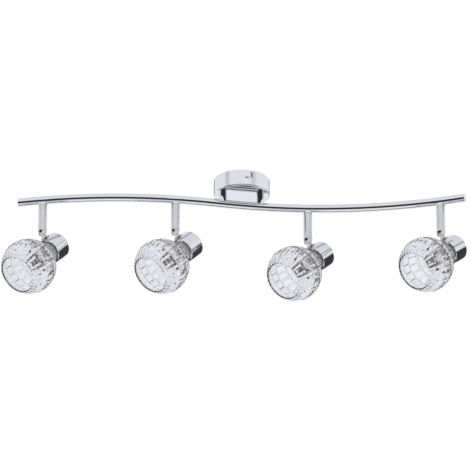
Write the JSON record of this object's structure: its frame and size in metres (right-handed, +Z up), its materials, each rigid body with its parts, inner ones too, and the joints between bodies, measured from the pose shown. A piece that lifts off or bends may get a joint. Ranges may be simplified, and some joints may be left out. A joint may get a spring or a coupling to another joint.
{
  "type": "ceiling spot bar",
  "caption": "S-curved tube bar under a round ceiling canopy, with lamps in clear pressed-glass balls that swivel on short stems and tilt on forks.",
  "frame": {"origin": "centre of the canopy on the ceiling face, where the bracket meets the ceiling", "axes": "+X along the rail towards the end whose bend bows away from the front, +Z up to the ceiling, -Y to the front that the lamps face"},
  "size_m": [0.6653, 0.121, 0.189],
  "materials": {
    "polished_chrome": "mirror-polished chrome plate on steel",
    "zinc_plate": "bright zinc plate on pressed steel",
    "nickel_tongue": "warm satin nickel on cast zinc",
    "brass": "turned brass",
    "block_plastic": "moulded off-white polyamide",
    "lead_sleeve": "white silicone sleeve",
    "ceramic_white": "glazed white steatite",
    "ring_plastic": "white heat-proof plastic",
    "shade_glass": "clear pressed glass with cut prisms and ribs",
    "capsule_glass": "clear quartz with a faint warm tint"
  },
  "bodies": {
    "canopy_and_rail": {"ceiling_canopy": "polished_chrome", "mounting_bracket": "zinc_plate", "canopy_screws": "polished_chrome", "terminal_block": "block_plastic", "terminal_screws": "brass", "block_screw": "zinc_plate", "earth_screw": "brass", "canopy_posts": "polished_chrome", "post_nipples": "brass", "post_washers": "zinc_plate", "post_nuts": "brass", "rail_tube": "polished_chrome", "rail_end_caps": "polished_chrome", "rail_leads": "lead_sleeve", "swivel_seats": "polished_chrome", "swivel_nuts": "brass"},
    "swivel_1": {"stem_1": "polished_chrome", "knuckle_fork_1": "polished_chrome", "hinge_screws_1": "zinc_plate"},
    "head_1": {"knuckle_tongue_1": "nickel_tongue", "tongue_nut_1": "zinc_plate", "lamp_cup_1": "polished_chrome", "holder_bridge_1": "zinc_plate", "lampholder_1": "ceramic_white", "shade_ring_1": "ring_plastic", "glass_shade_1": "shade_glass", "lamp_capsule_1": "capsule_glass"},
    "swivel_2": {"stem_2": "polished_chrome", "knuckle_fork_2": "polished_chrome", "hinge_screws_2": "zinc_plate"},
    "head_2": {"knuckle_tongue_2": "nickel_tongue", "tongue_nut_2": "zinc_plate", "lamp_cup_2": "polished_chrome", "holder_bridge_2": "zinc_plate", "lampholder_2": "ceramic_white", "shade_ring_2": "ring_plastic", "glass_shade_2": "shade_glass", "lamp_capsule_2": "capsule_glass"},
    "swivel_3": {"stem_3": "polished_chrome", "knuckle_fork_3": "polished_chrome", "hinge_screws_3": "zinc_plate"},
    "head_3": {"knuckle_tongue_3": "nickel_tongue", "tongue_nut_3": "zinc_plate", "lamp_cup_3": "polished_chrome", "holder_bridge_3": "zinc_plate", "lampholder_3": "ceramic_white", "shade_ring_3": "ring_plastic", "glass_shade_3": "shade_glass", "lamp_capsule_3": "capsule_glass"},
    "swivel_4": {"stem_4": "polished_chrome", "knuckle_fork_4": "polished_chrome", "hinge_screws_4": "zinc_plate"},
    "head_4": {"knuckle_tongue_4": "nickel_tongue", "tongue_nut_4": "zinc_plate", "lamp_cup_4": "polished_chrome", "holder_bridge_4": "zinc_plate", "lampholder_4": "ceramic_white", "shade_ring_4": "ring_plastic", "glass_shade_4": "shade_glass", "lamp_capsule_4": "capsule_glass"}
  },
  "joints": [
    {"name": "swivel_1", "type": "hinge", "parent": "canopy_and_rail", "child": "swivel_1", "pos_m": [-0.285, -0.01795, -0.0471], "axis": [0, 0, 1], "range_deg": [-170, 170]},
    {"name": "tilt_1", "type": "hinge", "parent": "swivel_1", "child": "head_1", "pos_m": [-0.285, -0.01795, -0.0901], "axis": [0.6561, -0.7547, 0], "range_deg": [-42.5, 47.5]},
    {"name": "swivel_2", "type": "hinge", "parent": "canopy_and_rail", "child": "swivel_2", "pos_m": [-0.095, -0.02082, -0.0471], "axis": [0, 0, 1], "range_deg": [-170, 170]},
    {"name": "tilt_2", "type": "hinge", "parent": "swivel_2", "child": "head_2", "pos_m": [-0.095, -0.02082, -0.0901], "axis": [0.5878, -0.809, 0], "range_deg": [-43, 47]},
    {"name": "swivel_3", "type": "hinge", "parent": "canopy_and_rail", "child": "swivel_3", "pos_m": [0.095, 0.01112, -0.0471], "axis": [0, 0, 1], "range_deg": [-170, 170]},
    {"name": "tilt_3", "type": "hinge", "parent": "swivel_3", "child": "head_3", "pos_m": [0.095, 0.01112, -0.0901], "axis": [0.6428, -0.766, 0], "range_deg": [-40, 50]},
    {"name": "swivel_4", "type": "hinge", "parent": "canopy_and_rail", "child": "swivel_4", "pos_m": [0.285, -0.01498, -0.0471], "axis": [0, 0, 1], "range_deg": [-170, 170]},
    {"name": "tilt_4", "type": "hinge", "parent": "swivel_4", "child": "head_4", "pos_m": [0.285, -0.01498, -0.0901], "axis": [0.6293, -0.7771, 0], "range_deg": [-36.5, 53.5]}
  ]
}
